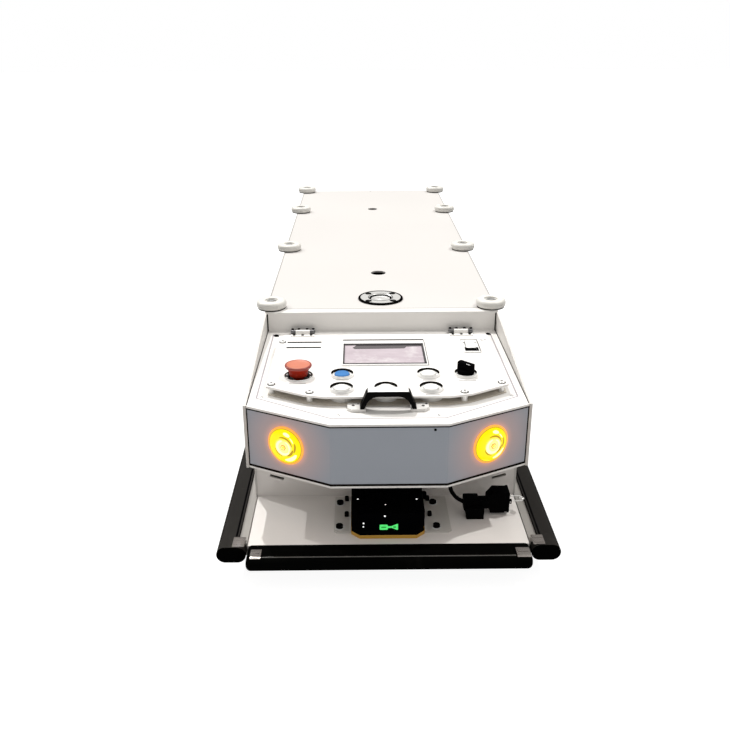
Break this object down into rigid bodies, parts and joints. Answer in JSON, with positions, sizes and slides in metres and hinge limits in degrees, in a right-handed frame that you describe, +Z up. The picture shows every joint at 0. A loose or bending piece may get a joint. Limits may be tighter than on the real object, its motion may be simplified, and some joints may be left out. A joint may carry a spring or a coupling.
{
  "type": "autonomous mobile robot",
  "caption": "Low white tunnel tugger robot with a flat deck, guide rollers, a rising tow pin, a hinged control head and black safety edges.",
  "frame": {"origin": "centre of the footprint's bounding box, on the floor that the wheels stand on", "axes": "+X to the right in a front view, +Y from the nose to the tail, +Z up"},
  "size_m": [0.484, 1.587, 0.285],
  "materials": {
    "white_paint": "satin",
    "grey_panel": "satin",
    "black_steel": "satin",
    "safety_rubber": "matte",
    "white_nylon": "matte",
    "steel": "brushed",
    "chrome": "polished",
    "black_plastic": "matte",
    "scanner_black": "gloss",
    "amber_lens": "gloss",
    "red_plastic": "gloss",
    "blue_plastic": "gloss",
    "white_plastic": "gloss",
    "grey_plastic": "matte",
    "cable_jacket": "matte",
    "tyre": "matte",
    "battery_case": "matte",
    "zinc_steel": "satin",
    "screen": "gloss",
    "alloy": "satin"
  },
  "bodies": {
    "chassis": {"base_frame": "white_paint", "bay_floor": "white_paint", "bay_wall": "white_paint", "side_panels": "white_paint", "rear_panel": "white_paint", "deck_plate": "white_paint", "step_riser": "white_paint", "head_rim": "white_paint", "head_tray": "white_paint", "fascia": "grey_panel", "lamps": "amber_lens", "scanner_bracket": "white_paint", "scanner_screws": "black_steel", "scanner": "scanner_black", "connector_socket": "black_plastic", "cable_plug": "black_plastic", "cable_gland": "black_plastic", "cable": "cable_jacket", "bumper_front": "safety_rubber", "bumper_sides": "safety_rubber", "tow_flange": "white_paint", "pin_guide": "zinc_steel", "deck_fasteners": "zinc_steel", "drive_unit": "alloy", "battery": "battery_case", "controller": "grey_plastic", "hinge_leaves": "steel"},
    "lid": {"lid_panel": "white_paint", "control_plate": "white_paint", "standoffs": "steel", "touch_panel": "screen", "button_rings": "chrome", "estop_base": "grey_plastic", "selector_base": "chrome", "rocker_frame": "white_plastic", "handle": "black_steel"},
    "estop": {"estop_head": "red_plastic"},
    "selector": {"selector_knob": "black_plastic"},
    "rocker": {"rocker": "black_plastic"},
    "tow_pin": {"tow_pin": "steel"},
    "bail": {"socket_bail": "steel"},
    "button_blue": {"button_cap_blue": "blue_plastic"},
    "button_right_back": {"button_cap_right_back": "white_plastic"},
    "button_left_front": {"button_cap_left_front": "white_plastic"},
    "button_centre_front": {"button_cap_centre_front": "white_plastic"},
    "button_right_front": {"button_cap_right_front": "white_plastic"},
    "roller_front_left": {"roller_front_left": "white_nylon"},
    "roller_front_right": {"roller_front_right": "white_nylon"},
    "roller_second_left": {"roller_second_left": "white_nylon"},
    "roller_second_right": {"roller_second_right": "white_nylon"},
    "roller_third_left": {"roller_third_left": "white_nylon"},
    "roller_third_right": {"roller_third_right": "white_nylon"},
    "roller_rear_left": {"roller_rear_left": "white_nylon"},
    "roller_rear_right": {"roller_rear_right": "white_nylon"},
    "drive_wheel_left": {"drive_wheel_left": "tyre"},
    "drive_wheel_right": {"drive_wheel_right": "tyre"},
    "caster_fork_left": {"caster_fork_left": "zinc_steel"},
    "caster_wheel_left": {"caster_wheel_left": "tyre"},
    "caster_fork_right": {"caster_fork_right": "zinc_steel"},
    "caster_wheel_right": {"caster_wheel_right": "tyre"}
  },
  "joints": [
    {"name": "lid_hinge", "type": "hinge", "parent": "chassis", "child": "lid", "pos_m": [0, -0.3963, 0.2396], "axis": [-1, 0, 0], "range_deg": [0, 80]},
    {"name": "estop_push", "type": "slide", "parent": "lid", "child": "estop", "axis": [0, 0, -1], "range_m": [0, 0.004]},
    {"name": "selector_turn", "type": "hinge", "parent": "lid", "child": "selector", "pos_m": [0.1175, -0.616, 0.2525], "axis": [0, 0, -1], "range_deg": [0, 90]},
    {"name": "rocker_tilt", "type": "hinge", "parent": "lid", "child": "rocker", "pos_m": [0.1395, -0.5002, 0.2465], "axis": [-1, 0, 0], "range_deg": [0, 11]},
    {"name": "tow_pin_lift", "type": "slide", "parent": "chassis", "child": "tow_pin", "axis": [0, 0, 1], "range_m": [0, 0.05]},
    {"name": "bail_swing", "type": "hinge", "parent": "chassis", "child": "bail", "pos_m": [0.184, -0.6695, 0.07], "axis": [0, -1, 0], "range_deg": [-20, 85]},
    {"name": "press_blue", "type": "slide", "parent": "lid", "child": "button_blue", "axis": [0, 0, -1], "range_m": [0, 0.0025], "stiffness_N_per_m": 600},
    {"name": "press_right_back", "type": "slide", "parent": "lid", "child": "button_right_back", "axis": [0, 0, -1], "range_m": [0, 0.0025], "stiffness_N_per_m": 600},
    {"name": "press_left_front", "type": "slide", "parent": "lid", "child": "button_left_front", "axis": [0, 0, -1], "range_m": [0, 0.0025], "stiffness_N_per_m": 600},
    {"name": "press_centre_front", "type": "slide", "parent": "lid", "child": "button_centre_front", "axis": [0, 0, -1], "range_m": [0, 0.0025], "stiffness_N_per_m": 600},
    {"name": "press_right_front", "type": "slide", "parent": "lid", "child": "button_right_front", "axis": [0, 0, -1], "range_m": [0, 0.0025], "stiffness_N_per_m": 600},
    {"name": "roller_spin_front_left", "type": "hinge", "parent": "chassis", "child": "roller_front_left", "pos_m": [-0.1925, -0.3545, 0.278], "axis": [0, 0, 1], "continuous": true},
    {"name": "roller_spin_front_right", "type": "hinge", "parent": "chassis", "child": "roller_front_right", "pos_m": [0.1925, -0.3545, 0.278], "axis": [0, 0, 1], "continuous": true},
    {"name": "roller_spin_second_left", "type": "hinge", "parent": "chassis", "child": "roller_second_left", "pos_m": [-0.1925, 0.0585, 0.278], "axis": [0, 0, 1], "continuous": true},
    {"name": "roller_spin_second_right", "type": "hinge", "parent": "chassis", "child": "roller_second_right", "pos_m": [0.1925, 0.0585, 0.278], "axis": [0, 0, 1], "continuous": true},
    {"name": "roller_spin_third_left", "type": "hinge", "parent": "chassis", "child": "roller_third_left", "pos_m": [-0.1925, 0.4735, 0.278], "axis": [0, 0, 1], "continuous": true},
    {"name": "roller_spin_third_right", "type": "hinge", "parent": "chassis", "child": "roller_third_right", "pos_m": [0.1925, 0.4735, 0.278], "axis": [0, 0, 1], "continuous": true},
    {"name": "roller_spin_rear_left", "type": "hinge", "parent": "chassis", "child": "roller_rear_left", "pos_m": [-0.1925, 0.7675, 0.278], "axis": [0, 0, 1], "continuous": true},
    {"name": "roller_spin_rear_right", "type": "hinge", "parent": "chassis", "child": "roller_rear_right", "pos_m": [0.1925, 0.7675, 0.278], "axis": [0, 0, 1], "continuous": true},
    {"name": "drive_spin_left", "type": "hinge", "parent": "chassis", "child": "drive_wheel_left", "pos_m": [-0.135, -0.3055, 0.075], "axis": [1, 0, 0], "continuous": true},
    {"name": "drive_spin_right", "type": "hinge", "parent": "chassis", "child": "drive_wheel_right", "pos_m": [0.135, -0.3055, 0.075], "axis": [1, 0, 0], "continuous": true},
    {"name": "caster_swivel_left", "type": "hinge", "parent": "chassis", "child": "caster_fork_left", "pos_m": [-0.115, 0.69, 0.1], "axis": [0, 0, 1], "continuous": true},
    {"name": "caster_spin_left", "type": "hinge", "parent": "caster_fork_left", "child": "caster_wheel_left", "pos_m": [-0.115, 0.72, 0.0375], "axis": [1, 0, 0], "continuous": true},
    {"name": "caster_swivel_right", "type": "hinge", "parent": "chassis", "child": "caster_fork_right", "pos_m": [0.115, 0.69, 0.1], "axis": [0, 0, 1], "continuous": true},
    {"name": "caster_spin_right", "type": "hinge", "parent": "caster_fork_right", "child": "caster_wheel_right", "pos_m": [0.115, 0.72, 0.0375], "axis": [1, 0, 0], "continuous": true}
  ]
}
